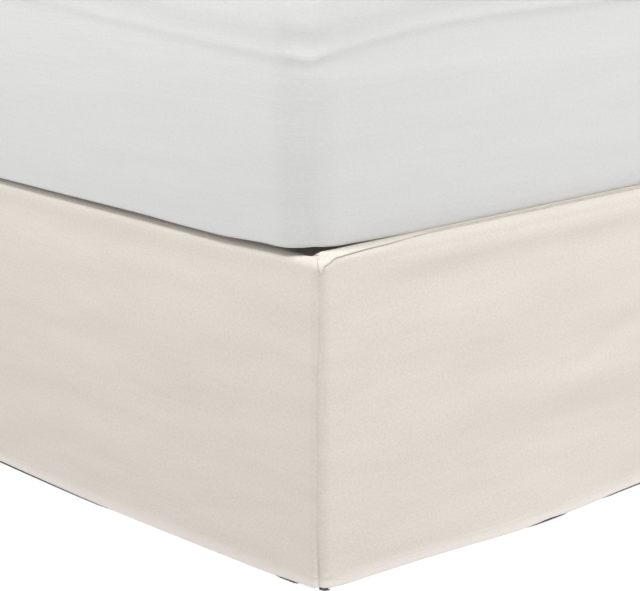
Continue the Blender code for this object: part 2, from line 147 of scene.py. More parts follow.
def table(columns, *rows):
    """Rows with named columns. Zeros at the end of a row can be left out."""
    row_kind = namedtuple("Row", columns, defaults=[0.0] * len(columns.split()))
    return tuple(row_kind(*row) for row in rows)


def mm_table(columns, *rows):
    """The same in metres, from millimetres."""
    return table(columns, *((value / 1000 for value in row) for row in rows))


LIGHTS = table(
    "name place target size power",
    ("overhead", (1.6, -1.7, 3.0), (1.6, -1.7, 0.0), (1.2, 1.2), 11),
    ("foot_high", (0.15, -2.5, 2.7), (0.2, 0.5, 2.2), (1.6, 0.8), 75),
    ("foot_near", (0.1, -2.4, 1.3), (0.3, -1.0, 0.6), (1.6, 0.6), 4.2),
    ("right_high", (2.7, -0.3, 2.75), (3.4, -0.3, 0.0), (0.8, 2.0), 105),
    ("right_near_low", (2.1, -0.3, 0.2), (0.77, -0.4, 0.1), (1.6, 0.4), 1.7),
    ("left_high", (-2.9, 0.0, 1.6), (-0.77, 0.0, 0.3), (0.8, 2.0), 38),
    ("head_high", (0.0, 3.1, 1.5), (0.0, 1.0, 0.3), (2.0, 1.2), 40),
)

# A soft wave in a drop. at: distance from the drop's first corner. slant: mm of rise per metre.
WAVE = "at height half_length half_height depth slant"
HOLLOW_LIMIT = 0.0040  # a drop's hollows stop short of the base behind it
FOOT_WAVES = mm_table(
    WAVE,
    (540, 350, 150, 15, -4), (300, 346, 170, 18, -4.5), (340, 250, 200, 35, 3), (240, 157, 120, 22, -4),
    (140, 108, 140, 20, -4.5), (360, 90, 120, 26, 3.6), (580, 105, 100, 25, -3),
    (480, 160, 130, 28, 3.4), (460, 0, 170, 70, 6), (240, 0, 220, 50, 4.5), (700, 0, 120, 50, 1.2),
    (950, 348, 250, 14, -2.4), (860, 250, 200, 40, 2.1, -50), (900, 170, 180, 32, -2.3, 50),
    (1020, 95, 160, 34, -3.4), (1050, 0, 200, 55, 10), (1300, 260, 140, 40, 2.3, 50),
    (1330, 340, 140, 14, -2.1), (1360, 110, 100, 40, -3), (1340, 0, 120, 50, 6.5),
)
RIGHT_WAVES = mm_table(
    WAVE,
    (350, 361, 220, 15, 4), (160, 330, 120, 20, -4.5), (420, 338, 200, 18, -3.5),
    (330, 275, 200, 30, 3), (250, 212, 100, 18, -3), (520, 215, 80, 16, -4, 300),
    (440, 165, 150, 22, 4.5), (420, 112, 170, 20, -4.8, -60), (180, 150, 120, 25, 3),
    (345, 0, 160, 55, 16), (700, 0, 140, 50, 6), (920, 325, 240, 20, -2.7), (840, 230, 220, 40, 3, 60),
    (900, 110, 180, 36, -3.9, 50), (980, 0, 180, 60, 14.5), (1360, 318, 220, 22, -2.3),
    (1260, 200, 200, 40, 3.2, -50), (1340, 85, 160, 36, -3.6), (1440, 0, 180, 55, 13),
    (1740, 322, 180, 20, -2.1), (1720, 220, 180, 45, 3.2, 60), (1800, 0, 140, 60, 11),
)
LEFT_WAVES = mm_table(
    WAVE,
    (300, 330, 260, 20, -3.4), (260, 220, 200, 45, 4.2, 60), (300, 95, 170, 38, -5, -60),
    (330, 0, 160, 60, 15), (660, 200, 180, 42, 3.8, -50), (840, 326, 240, 20, -3.2),
    (800, 0, 160, 55, 12), (1100, 235, 240, 45, 4.2, 50), (1160, 100, 180, 38, -5.2, 50),
    (1220, 0, 190, 60, 15.5), (1420, 322, 240, 22, -3.4), (1600, 200, 180, 42, 3.8, -50),
    (1740, 0, 180, 55, 12),
)
UNEVENNESS = 0.0005  # of a drop between its waves
UNEVEN_SIZE = (0.085, 0.060)

# Where the deck's seam lies on the right side: a length down the cloth, by distance from the
# corner's middle. At the corner it hooks down into the groove.
RIGHT_SEAM = mm_table(
    "distance length",
    (0, 20), (1, 19.8), (1.7, 18.4), (2.3, 16), (2.9, 14), (4.2, 12.2), (6.3, 11.2), (15.1, 10),
    (35.1, 8.8), (57.1, 7.6), (78.1, 6.6), (107.1, 5.8), (131.1, 4), (157.1, 1), (175, 0),
)
SEAM_OPENING = 0.0006  # between the lip's fold and the drop, where the seam shows
SEAM_VALLEY = 0.0007  # how deep the drop turns in along that seam
SEAM_VALLEY_REACH = 0.0016
SEAM_SHOWN = 0.004  # slipped this far, a seam shows whole

# On the foot side of the corner the same lip lies over the foot drop and thins out to nothing.
FOOT_LIP = mm_table(
    "distance length",
    (0, 20), (1, 18.5), (2.2, 15), (4, 10), (6, 5.5), (8, 2.2), (11, 0.2),
)
LIP_FEATHER = 0.004
LIP_EDGE = 0.0002  # thickness of the lip's feathered edge, and its least length
LIP_OVERLAP = 0.003
LIP_MARGIN = 0.0008
LIP_ROOM = 0.0016  # how far the foot drop stays back under the lip
LIP_ARC = (11, 13)  # the lip's start round the corner, and how far on it is whole, in degrees
ALLOWANCE = 0.012  # of cloth beyond a seam that doesn't show
CORNER_ALLOWANCE = 0.005
ALLOWANCE_RUN = 0.03

# How far the cloth sinks where it rolls over the foot edge, by distance from the right corner, and
# how far the deck behind that edge sags into the hollow of the base's worn edge.
FOOT_SINK = mm_table(
    "distance depth hollow",
    (0, 5, 9), (40, 4.4, 9.5), (100, 5.3, 6), (170, 6.6, 3.5), (240, 5.8, 3.5), (320, 5.6, 3.5),
    (400, 5.6, 3.5), (480, 4.9, 3), (650, 3.6, 2.5), (1000, 1.8, 2), (1300, 2.6, 2.5), (1540, 4.2, 6),
)

# Where that starts or ends, and over which length
SINK_INSET = (0.026, 0.016)
HOLLOW_START = (0.012, 0.014)
HOLLOW_END = (0.034, 0.030)
HOLLOW_CORNER = (0.022, 0.016)
SINK_HEIGHT = (0.33, 0.04)

# Where the painted shade under the bed ends, out from a hem, by distance along the drop. It stays
# inside, but for the places where the hem is up, where it paints the shadow under the hem.
FOOT_SHADE = mm_table(
    "along reach",
    (0, -12), (34, -10), (40, 0.6), (66, 0.6), (80, -2.4), (360, -2.4), (400, 0.8), (640, 0.8),
    (700, -2.4), (1510, -2.4), (1524, -12),
)
SIDE_SHADE = mm_table(
    "along reach",
    (10, 0.6), (16, -6), (60, -3), (320, -2.4), (340, 0.6), (392, 0.8), (406, -2.4), (460, -2.4),
    (490, 0.6), (570, 0.8), (620, -2.4),
)

# How far the hem hangs clear of the floor, by distance from the drop's first corner.
FOOT_CLEARANCE = mm_table(
    "distance height",
    (0, 3.6), (28, 3.1), (36, 2.4), (74, 1.1), (100, 1), (400, 1), (500, 1.8), (640, 2.2), (800, 1),
    (1060, 1), (1220, 1.6), (1330, 1), (1500, 2.4), (1536, 3.4),
)
SIDE_CLEARANCE = mm_table(
    "distance height",
    (0, 3.6), (20, 3.2), (34, 1.6), (50, 1), (310, 1), (345, 1.6), (367, 3), (388, 1.6), (420, 1),
    (455, 1), (500, 1.6), (580, 2), (700, 1), (980, 1), (1180, 1.8), (1450, 1), (1640, 1.9), (1800, 1),
    (2040, 2.2),
)

# How far the upright corner groove wanders towards the foot side, by height.
CORNER_SWAY = mm_table(
    "height shift",
    (26, 1.6), (50, 2.6), (100, 3), (180, 2.7), (233, 3.1), (262, 2.7), (280, 1.3), (310, 1), (345, 1),
    (375, 0),
)
SWAY_REACH = 0.030

# How far the mattress's piping hangs below its level, by signed distance from a corner's middle:
# negative along the foot and the head, positive along the sides.
RIDGE_SAG = mm_table(
    "distance drop",
    (-900, -4), (-550, -8), (-430, -5.2), (-320, 2.4), (-240, 5.4), (-130, 11.5), (-60, 13.7),
    (-20, 14.5), (0, 17), (10, 18), (25, 13.4), (45, 9.7), (90, 4.1), (150, -3.4), (220, -7),
    (340, -8.8), (480, -9.3), (600, -8), (900, -4),
)

# How far the mattress's lower rim stands off the deck, by the same distance.
RIM_RISE = mm_table(
    "distance lift",
    (-900, 0.4), (-430, 0.5), (-350, 0.8), (-270, 0.9), (-200, -0.4), (-126, -0.5), (-57, 3.4),
    (-20, 3.4), (0, 4.6), (10, 5.4), (25, 4.4), (45, 3), (63, 2.7), (84, 2), (104, 1.4), (129, 0.8),
    (155, 0),
)

# A column of cloth: its place from above, its outward direction, its distance along, its groove's
# depth, and whether it is on a flap (for the deck: on the foot's side of the corner).
Column = namedtuple("Column", "x y out_x out_y along groove flap")


def smooth(value):
    t = np.clip(value, 0.0, 1.0)
    return t * t * (3 - 2 * t)


def bell(value):
    return np.exp(-np.square(value))


def table_value(rows, x, column=1):
    values = np.array(rows)
    return np.interp(x, values[:, 0], values[:, column])


def comes_up(value, start, run):
    """0 up to start and 1 from a run further on."""
    return smooth((value - start) / run)


def fades(value, end, run):
    """1 up to a run before the end, and 0 from there on."""
    return smooth((end - value) / run)


def unit(vectors):
    return vectors / np.maximum(np.linalg.norm(vectors, axis=-1, keepdims=True), TINY)


def soft_noise(x, y, size_x, size_y, seed):
    """Seeded smooth unevenness between about -1 and 1, for arrays of places."""
    x, y = np.broadcast_arrays(x, y)
    values = [
        noise.noise(Vector((a / size_x, b / size_y, seed * 7.31)))
        for a, b in zip(x.ravel(), y.ravel())
    ]
    return np.array(values).reshape(x.shape)


# ---- cloth columns

def corner_column(degrees, dip=0.0, groove=0.0, flap=True):
    """A column on the right foot corner, a dip inside its arc."""
    angle = math.radians(degrees)
    out_x, out_y = math.sin(angle), -math.cos(angle)
    reach = CORNER_RADIUS - dip
    x = HALF_WIDTH - CORNER_RADIUS + out_x * reach
    y = -FOOT_FACE + CORNER_RADIUS + out_y * reach
    return Column(x, y, out_x, out_y, 0.0, groove, flap)


def groove_profile(degrees):
    """Depth of the upright valley in which the two drops meet at the corner."""
    away = abs(degrees - 45) * math.pi / 180 * CORNER_RADIUS
    return GROOVE_DEPTH * float(bell(away / GROOVE_REACH))


def straight_places(end, closed_end):
    """Distances along a drop's straight run, close together next to a corner."""
    places = [CORNER_RADIUS]
    limit = end - CORNER_RADIUS if closed_end else end
    while places[-1] < limit - 1e-6:
        at = places[-1]
        near = min(at, end - at) if closed_end else at
        step = FINE_PITCH + (PITCH - FINE_PITCH) * float(smooth((near - FINE_REACH) / FINE_RUN))
        places.append(min(at + step, limit))
    if places[-1] - places[-2] < FINE_PITCH / 3:
        places.pop(-2)
    return places


def face_corner(turns):
    """Columns of a drop's face on the right corner, at these turns from the foot in degrees."""
    return [corner_column(turn, groove=groove_profile(turn), flap=False) for turn in map(float, turns)]


def foot_corner_columns():
    """From the foot drop's face round the right corner and into its flap."""
    columns = face_corner([*np.arange(4, 25, 4.5), *np.arange(25, 44, 2.2), *FOOT_LAST_TURNS])
    for turn in map(float, np.arange(FLAP_TURN, 91, 5.125)):
        share = (90 - turn) / (90 - FLAP_TURN)
        columns.append(corner_column(turn, FLAP_DIP + FLAP_EASE * share))
    end = columns[-1]
    for share in (0.25, 0.5, 0.75, 1.0):
        columns.append(end._replace(y=end.y + FLAP_LENGTH * share))
    return columns


def foot_columns():
    span = 2 * HALF_WIDTH
    right = foot_corner_columns()
    run = [
        Column(HALF_WIDTH - along, -FOOT_FACE, 0.0, -1.0, along, 0.0, False)
        for along in straight_places(span, True)
    ]
    left = [c._replace(x=-c.x, out_x=-c.out_x, along=span) for c in right]
    return left[::-1] + run[::-1] + right


def side_columns():
    columns = face_corner([*SIDE_FIRST_TURNS, *np.arange(49, 56, 1.2), *np.arange(56.5, 89, 2.8)])
    for along in straight_places(FOOT_FACE + HEAD_END, False):
        columns.append(Column(HALF_WIDTH, -FOOT_FACE + along, 1.0, 0.0, along, 0.0, False))
    return columns


# ---- cloth faces

def over_edge(length):
    """Inward distance and fall at a length along the cloth from the seam's inset."""
    flat = SEAM_INSET - EDGE_RADIUS
    angle = (length - flat) / EDGE_RADIUS
    arc = np.clip(angle, 0.0, math.pi / 2)
    inward = np.where(length <= flat, SEAM_INSET - length, EDGE_RADIUS * (1 - np.sin(arc)))
    fall = EDGE_RADIUS * (1 - np.cos(arc)) + EDGE_RADIUS * np.clip(angle - math.pi / 2, 0.0, None)
    return inward, fall


def corner_distance(columns):
    """Length of cloth between each column and the corner's middle."""
    eighth = CORNER_RADIUS * math.pi / 4
    turned = [abs(math.atan2(abs(c.out_x), -c.out_y) * CORNER_RADIUS - eighth) for c in columns]
    along = np.array([c.along for c in columns])
    return np.where(along > 0, eighth + along - CORNER_RADIUS, turned)


def allowance(columns, far_corner):
    """The other drops' seam allowance lies inwards on the deck, less far round a corner."""
    away = np.array([min(c.along, far_corner - c.along) for c in columns]) - CORNER_RADIUS
    return -CORNER_ALLOWANCE - (ALLOWANCE - CORNER_ALLOWANCE) * smooth(away / ALLOWANCE_RUN)


def lip_cover(x, y):
    """1 where the deck's lip lies over the foot drop, round the right corner, and 0 elsewhere."""
    right = x - (HALF_WIDTH - CORNER_RADIUS)
    front = -FOOT_FACE + CORNER_RADIUS - y
    turned = np.degrees(np.arctan2(np.maximum(right, 0.0), front))
    return comes_up(turned, *LIP_ARC)


def wave_depth(waves, along, height):
    total = np.zeros(np.broadcast(along, height).shape)
    for wave in waves:
        level = wave.height + wave.slant * (along - wave.at)
        share = bell((along - wave.at) / wave.half_length) * bell((height - level) / wave.half_height)
        total += wave.depth * share
    return np.where(total < 0, HOLLOW_LIMIT * np.tanh(total / HOLLOW_LIMIT), total)


def groove_share(height):
    opening = smooth((DECK_TOP - EDGE_RADIUS - height) / GROOVE_FADE)
    return opening * (GROOVE_SHARES[0] + GROOVE_SHARES[1] * smooth(1 - height / GROOVE_HEM))


def corner_sway(x, y, height):
    """How far the cloth next to a foot corner wanders along itself, away from the side drop."""
    reach = CORNER_RADIUS * (1 - math.sqrt(0.5))
    away = np.hypot(np.abs(x) - (HALF_WIDTH - reach), y + FOOT_FACE - reach)
    return table_value(CORNER_SWAY, height) * bell(away / SWAY_REACH)


def edge_sink(x, y, height):
    """How far the cloth sinks next to the foot edge, where the base's edge is soft."""
    away = HALF_WIDTH - x
    inset = y + FOOT_FACE
    depth = table_value(FOOT_SINK, away) * fades(inset, *SINK_INSET)
    behind = bell(np.maximum(inset - HOLLOW_END[0], 0.0) / HOLLOW_END[1])
    shape = comes_up(inset, *HOLLOW_START) * behind * comes_up(away, *HOLLOW_CORNER)
    hollow = table_value(FOOT_SINK, away, 2) * shape
    return (depth + hollow) * comes_up(height, *SINK_HEIGHT)


def hem_relief(along, height, seed):
    """Step, stitch valleys and small puckers of a turned-up hem."""
    edge = height - HEM_LIFT
    step = HEM_STEP * smooth((HEM_DEPTH + HEM_STEP_RUN - edge) / HEM_STEP_RUN)
    valleys = sum(bell((edge - row) / STITCH_VALLEY_REACH) for row in HEM_STITCHES)
    pucker = soft_noise(along, edge * 0.5, *PUCKER_SIZE, seed) * bell((edge - PUCKER_BAND) / PUCKER_BAND)
    return step - STITCH_VALLEY * valleys + PUCKER * pucker


class Drop:
    """One drop's cut: its columns, waves, seam and unevenness.

    far_corner is the distance along it to its second corner, or OPEN_END.
    """

    def __init__(self, columns, waves, clearance, far_corner, seam, seed):
        self.columns = columns
        self.waves = waves
        self.clearance = clearance
        self.far_corner = far_corner
        self.seed = seed
        x, y, out_x, out_y, self.along, self.groove, _ = np.array(columns, float).T
        self.place = np.column_stack([x, y])
        self.out = np.column_stack([out_x, out_y])
        distance = corner_distance(columns)
        if seam:
            seam_length = table_value(RIGHT_SEAM, distance)
            shown = smooth(seam_length / SEAM_SHOWN)
            self.start = seam_length + GAP + (SEAM_OPENING - GAP) * shown
        else:
            shown = np.zeros(len(columns))
            self.start = allowance(columns, far_corner)
        self.seam_valley = SEAM_VALLEY * shown
        self.lip = table_value(FOOT_LIP, distance)
        self.cover = lip_cover(x, y) * (0 if seam else 1)
        self.start = self.start + (self.lip - LIP_OVERLAP - self.start) * self.cover

    def relief(self, height):
        """How far the cloth stands out below the roll, for columns by rows of height."""
        along = self.along[:, None]
        corner = np.minimum(along, self.far_corner - along) - CORNER_RADIUS
        out = wave_depth(self.waves, along, height)
        out = out + UNEVENNESS * soft_noise(along, height, *UNEVEN_SIZE, self.seed)
        out = out * smooth((DECK_TOP - WAVE_TOP - height) / WAVE_FADE_TOP)
        out = out * smooth(corner / WAVE_FADE_CORNER)
        out = out + hem_relief(along, height, self.seed)
        return out - self.groove[:, None] * groove_share(height)

    def points(self, inward, height, length=None):
        """Outer points, for columns by rows."""
        out = self.relief(height) - inward
        if length is not None:
            from_seam = (length - self.start[:, None]) / SEAM_VALLEY_REACH
            out = out - self.seam_valley[:, None] * bell(from_seam)
            beneath = smooth((self.lip[:, None] + LIP_MARGIN - length) / LIP_OVERLAP)
            out = out - LIP_ROOM * self.cover[:, None] * beneath
        out_x, out_y = self.out[:, :1], self.out[:, 1:]
        x = self.place[:, :1] + out_x * out
        y = self.place[:, 1:] + out_y * out
        sway = corner_sway(x, y, height) * np.where(self.place[:, :1] < 0, -1, 1)
        x, y = x + sway * out_y, y - sway * out_x
        lowered = (HEM_LIFT - table_value(self.clearance, self.along))[:, None]
        z = height - lowered * smooth((HEM_EASE - height) / (HEM_EASE - HEM_LIFT))
        return np.stack([x, y, z - edge_sink(x, y, height)], axis=2)

    def rows(self):
        """Inward distance, height and length along the cloth of every row, for each column."""
        share = np.linspace(0, 1, ROLL_ROWS + 1)
        share = np.concatenate([[0.0], FIRST_ROW + (1 - FIRST_ROW) * share])
        length = self.start[:, None] + (ROLL_END - self.start[:, None]) * share
        inward, fall = over_edge(length)
        top = DECK_TOP - over_edge(ROLL_END)[1]
        hem_top = HEM_LIFT + HEM_DEPTH + HEM_STEP_RUN
        body = np.linspace(top, hem_top, BODY_ROWS + 1)[1:]
        hem = np.linspace(hem_top, HEM_LIFT, HEM_ROWS + 1)[1:]
        low = np.concatenate([body, hem])
        below = np.zeros((len(self.along), len(low)))
        height = np.concatenate([DECK_TOP - fall, below + low], axis=1)
        length = np.concatenate([length, below + ROLL_END + top - low], axis=1)
        return np.concatenate([inward, below], axis=1), height, length

    def line(self, height):
        """Points and outward directions along the drop at one height."""
        level = np.full((len(self.along), 1), height)
        points = self.points(np.zeros_like(level), level)[:, 0, :]
        keep = [i for i, c in enumerate(self.columns) if not c.flap]
        out = np.column_stack([self.out, np.zeros(len(self.out))])
        return points[keep], out[keep]

    def shade_line(self, reach):
        """Where the painted shade under the bed ends, on the floor."""
        points, out = self.line(HEM_LIFT)
        along = [c.along for c in self.columns if not c.flap]
        return points + out * table_value(reach, np.array(along))[:, None]


# ---- meshes

def travelled(points):
    """Length of the way along a line of points, up to each of them."""
    steps = np.linalg.norm(np.diff(points, axis=0), axis=1)
    return np.concatenate([[0.0], np.cumsum(steps)])


def closed_sheet(name, grid, uv, thickness, keep=None):
    """A closed sheet from its outer points, columns by rows, with rounded free edges.

    The outer face is on the side where columns run to the right and rows run down.
    """
    keep = np.ones(grid.shape[:2], bool) if keep is None else keep
    index = np.where(keep, np.cumsum(keep).reshape(keep.shape) - 1, -1)
    outer, spots = grid[keep], uv[keep]
    count = len(outer)
    a, b, c, d = index[:-1, :-1], index[:-1, 1:], index[1:, 1:], index[1:, :-1]
    quads = np.stack([a, b, c, d], axis=2).reshape(-1, 4)
    quads = quads[(quads >= 0).all(axis=1)]
    p = outer[quads]
    face_normal = np.cross(p[:, 2] - p[:, 0], p[:, 3] - p[:, 1])
    normal = np.zeros_like(outer)
    for k in range(4):
        np.add.at(normal, quads[:, k], face_normal)
    normal = unit(normal)
    inner = outer - normal * thickness[keep][:, None]
    faces = [tuple(quad) for quad in quads.tolist()]
    free = {}
    for quad in faces:
        for edge in zip(quad, quad[1:] + quad[:1]):
            if free.pop(edge[::-1], None) is None:
                free[edge] = True
    push = {}
    for first, second in free:
        side = unit(np.cross(outer[second] - outer[first], normal[first]))
        for vertex in (first, second):
            push[vertex] = push.get(vertex, 0.0) + side
    rim = {vertex: 2 * count + k for k, vertex in enumerate(push)}
    edge = list(push)
    half = np.linalg.norm(outer[edge] - inner[edge], axis=1, keepdims=True) / 2
    middle = (outer[edge] + inner[edge]) / 2 + unit(list(push.values())) * half * RIM_ROUNDING
    faces += [tuple(v + count for v in reversed(quad)) for quad in faces]
    for first, second in free:
        faces.append((second, first, rim[first], rim[second]))
        faces.append((rim[second], rim[first], first + count, second + count))
    points = np.concatenate([outer, inner, middle])
    return smooth_object(name, points, faces, np.concatenate([spots, spots, spots[edge]]))


def smooth_object(name, points, faces, spots=None):
    mesh = bpy.data.meshes.new(name)
    mesh.from_pydata([tuple(p) for p in points], [], faces)
    mesh.shade_smooth()
    if spots is not None:
        layer = mesh.uv_layers.new(name="cloth")
        corners = np.zeros(len(mesh.loops), int)
        mesh.loops.foreach_get("vertex_index", corners)
        layer.data.foreach_set("uv", np.asarray(spots)[corners].ravel())
    piece = bpy.data.objects.new(name, mesh)
    bpy.context.scene.collection.objects.link(piece)
    return piece


def drop_sheet(name, drop):
    inward, height, length = drop.rows()
    grid = drop.points(inward, height, length)
    uv = np.stack(np.broadcast_arrays(travelled(drop.place)[:, None], length), axis=2)
    keep = np.ones(height.shape, bool)
    keep[[column.flap for column in drop.columns], :ROLL_ROWS] = False
    thickness = CLOTH + HEM_EXTRA * smooth((HEM_LIFT + HEM_DEPTH - height) / HEM_STEP_RUN)
    return closed_sheet(name, grid, uv, thickness, keep)


def mirror(piece):
    """Turns a piece over, onto the bed's other half."""
    for vertex in piece.data.vertices:
        vertex.co.x = -vertex.co.x
    piece.data.flip_normals()


def stitches(points, out):
    """Thread stitches along a line, each as its corners."""
    travel = travelled(points)
    starts = np.arange(STITCH_MARGIN, travel[-1] - STITCH_PITCH, STITCH_PITCH)

    def between(distance, values):
        return np.stack([np.interp(distance, travel, values[:, k]) for k in range(3)], axis=1)

    tail, head = (between(starts + ahead, points) for ahead in (0.0, STITCH_LENGTH))
    tail_out, head_out = (unit(between(starts + ahead, out)) for ahead in (0.0, STITCH_LENGTH))
    side = np.cross(unit(head - tail), tail_out)
    corners = [tail - tail_out * STITCH_RADIUS]
    for share in STITCH_SHOULDERS:
        centre = tail + (head - tail) * share
        corners += [centre + lift * STITCH_RADIUS for lift in (tail_out, side, -tail_out, -side)]
    corners.append(head - head_out * STITCH_RADIUS)
    return np.stack(corners, axis=1)


def hem_stitches(name, drop):
    """The rows of stitches along a drop's hem, a little proud of it."""
    lines = [drop.line(HEM_LIFT + above_edge) for above_edge in HEM_STITCHES]
    corners = np.concatenate([stitches(points + out * STITCH_PROUD, out) for points, out in lines])
    faces = []
    for base in range(0, len(corners) * corners.shape[1], corners.shape[1]):
        first, second, last = base + 1, base + 5, base + 9
        for turn, following in zip(range(4), (1, 2, 3, 0)):
            faces.append((base, first + following, first + turn))
            faces.append((first + turn, first + following, second + following, second + turn))
            faces.append((last, second + turn, second + following))
    return smooth_object(name, corners.reshape(-1, 3), faces)


def rounded_outline(half, radius, corner_steps, pitch):
    """Round a rectangle: place, outward direction, signed distance from the nearest corner's middle."""
    half_arc = radius * math.pi / 4
    stations = []
    for quarter in range(4):
        sign = (1 if quarter in (0, 3) else -1, 1 if quarter in (0, 1) else -1)
        centre = [(half[k] - radius) * sign[k] for k in (0, 1)]
        onto_side = -1 if quarter in (0, 2) else 1
        for step in range(corner_steps + 1):
            angle = math.pi / 2 * (quarter + step / corner_steps)
            out = (math.cos(angle), math.sin(angle))
            away = (step / corner_steps * 2 - 1) * half_arc * onto_side
            stations.append((*[centre[k] + out[k] * radius for k in (0, 1)], *out, away))
        side = 1 if quarter in (1, 3) else -1
        run = 2 * half[1 if side > 0 else 0] - 2 * radius
        start = stations[-1]
        count = round(run / pitch)
        for k in range(1, count):
            at = run * k / count
            away = side * (min(at, run - at) + half_arc)
            stations.append((start[0] - out[1] * at, start[1] + out[0] * at, *out, away))
    return np.array(stations)


def loft(name, loops, travel, level):
    """A closed body from level loops, lowest first. The level ones take their cloth map from above."""
    grid = np.stack(loops)
    rings, count, _ = grid.shape
    faces = []
    for ring in range(rings - 1):
        low, high = ring * count, (ring + 1) * count
        for k in range(count):
            following = (k + 1) % count
            faces.append((low + k, low + following, high + following, high + k))
    faces.append(tuple(reversed(range(count))))
    faces.append(tuple((rings - 1) * count + k for k in range(count)))
    spots = np.stack([np.broadcast_to(travel, grid.shape[:2]), grid[:, :, 2]], axis=2)
    spots[level] = grid[level][:, :, :2]
    return smooth_object(name, grid.reshape(-1, 3), faces, spots.reshape(-1, 2))


# ---- deck

# Places across the deck: close together next to its side edges, and evenly spaced between
DECK_EDGE = (0, 4, 8, 12, 17, 23, 30, 38, 47, 58, 72, 90, 112)  # in millimetres
DECK_MIDDLE = 0.98  # how far out that goes, as a share of the half width, less the edge's part
DECK_MIDDLE_ROWS = 68
LIP_ROWS = 12
DECK_DROP = 0.0001  # how far the deck's face lies below its level
RUMPLE = 0.00012
TUCK_MARGIN = 0.006  # the deck lies this far beyond the drops' allowances before it comes up
TUCK_RUN = 0.004


def deck_tuck(inset):
    """1 where the deck lies over a drop's allowance, at an inset from its edge, and 0 further in."""
    return fades(inset, SEAM_INSET + ALLOWANCE + TUCK_MARGIN, TUCK_RUN)


def deck_sheet():
    """The flat deck, edge to edge, with the lip that slips over the right edge."""
    turns = [*np.arange(0, 24, 4), *np.arange(24, 44, 2), 43.6, 44.5]
    rungs = [corner_column(float(turn)) for turn in turns] + side_columns()
    edge_x, edge_y, out_x, out_y = np.array(rungs, float).T[:4, :, None]
    inset = SEAM_INSET + GAP
    side = edge_x - out_x * inset
    edge = np.array(DECK_EDGE) / 1000 / side.max()
    middle = DECK_MIDDLE - edge[-1]
    shares = np.concatenate([edge - 1, np.linspace(-middle, middle, DECK_MIDDLE_ROWS), 1 - edge[::-1]])
    x = side * shares
    y = np.broadcast_to(edge_y - out_y * inset, x.shape)
    rumple = RUMPLE * soft_noise(x, y, 0.05, 0.09, 3) * smooth((1 - np.abs(shares)) / 0.1)
    foot_tuck = deck_tuck(y + FOOT_FACE) * (1 - lip_cover(x, y))
    tucked = np.maximum(foot_tuck, deck_tuck(x + HALF_WIDTH)) * CLOTH
    level = DECK_TOP + rumple - DECK_DROP - tucked - edge_sink(x, y, DECK_TOP)
    on_foot = np.array([c.flap for c in rungs])
    foot_lip, seam = (table_value(rows, corner_distance(rungs)) for rows in (FOOT_LIP, RIGHT_SEAM))
    seam = np.where(on_foot, foot_lip, np.maximum(seam, LIP_EDGE))[:, None]
    lengths = seam * np.linspace(0.08, 1.0, LIP_ROWS)
    inward, fall = over_edge(lengths)
    lip_x, lip_y, lip_z = edge_x - out_x * inward, edge_y - out_y * inward, DECK_TOP - fall
    lip = np.stack([lip_x, lip_y, lip_z - edge_sink(lip_x, lip_y, lip_z)], axis=2)
    grid = np.concatenate([np.stack([x, y, level], axis=2), lip], axis=1)[::-1]
    feather = np.where(on_foot[:, None], smooth((seam - lengths) / LIP_FEATHER), 1.0)
    lip_thickness = LIP_EDGE + (CLOTH - LIP_EDGE) * feather
    thickness = np.concatenate([np.full(x.shape, CLOTH), lip_thickness], axis=1)[::-1]
    return closed_sheet("skirt_deck", grid, grid[:, :, :2], thickness)


# ---- mattress

OUTLINE_STEPS = 36  # round a corner
OUTLINE_PITCH = 0.009
RING_PITCH = 0.007
CROWN_SHARES = (0.82, 0.62, 0.40, 0.18)  # of the last row's size, for the rows on the flat top
CROWN_ROWS = 12  # rows of the profile, counted from the top, whose cloth map is taken from above


def mattress_profile():
    """Level rows of the mattress, with their shares of the piping's sag, rim lift and pinch."""
    low = DECK_TOP + GAP
    top = low + MATTRESS_HEIGHT
    ridge = RIDGE_HEIGHT
    return table(
        "inset height dip lift pinch",
        (0.1, low), (0.04, low, 0, 0.4), (0.005, low, 0, 1),
        (0.0012, low + 0.0008, 0, 1), (0.0002, low + 0.0028, 0, 1),
        (0.0002, low + 0.007, 0, 1), (-0.0006, low + 0.02, 0, 0.9),
        (-0.002, low + 0.08, 0, 0.3), (-0.002, low + 0.13, 0.4, 0.1),
        (-0.001, ridge - 0.05, 0.8), (0, ridge - 0.02, 1), (0.0006, ridge - 0.01, 1),
        (0.0004, ridge - 0.005, 1, 0, 0.05), (-0.0006, ridge - 0.001, 1, 0, 0.1),
        (-0.0009, ridge + 0.002, 1, 0, 0.15), (-0.0005, ridge + 0.006, 1, 0, 0.25),
        (0.0003, ridge + 0.012, 1, 0, 0.5), (0, ridge + 0.018, 0.9, 0, 0.8),
        (-0.001, ridge + 0.034, 0.8, 0, 1), (0.005, ridge + 0.062, 0.5, 0, 1),
        (0.022, top - 0.018, 0.1, 0, 0.8), (0.06, top - 0.005, 0, 0, 0.3), (0.2, top),
    )


def finer_rows(rows, longest):
    """Rows with smooth ones put in between, so that none are further apart than longest."""
    rows = np.array(rows)
    result = []
    for k, (first, second) in enumerate(zip(rows, rows[1:])):
        before, after = rows[max(k - 1, 0)], rows[min(k + 2, len(rows) - 1)]
        span = math.hypot(*(second - first)[:2])
        steps = max(1, math.ceil(span / longest))
        leave, arrive = ((end - start) / 2 for start, end in ((before, second), (first, after)))
        leave *= min(1.0, span / max(np.linalg.norm(leave[:2]), TINY))
        arrive *= min(1.0, span / max(np.linalg.norm(arrive[:2]), TINY))
        for step in range(steps):
            t = step / steps
            swing = leave * (t**3 - 2 * t * t + t) + arrive * (t**3 - t * t)
            result.append(first + (second - first) * smooth(t) + swing)
    result.append(rows[-1])
    return np.array(result)


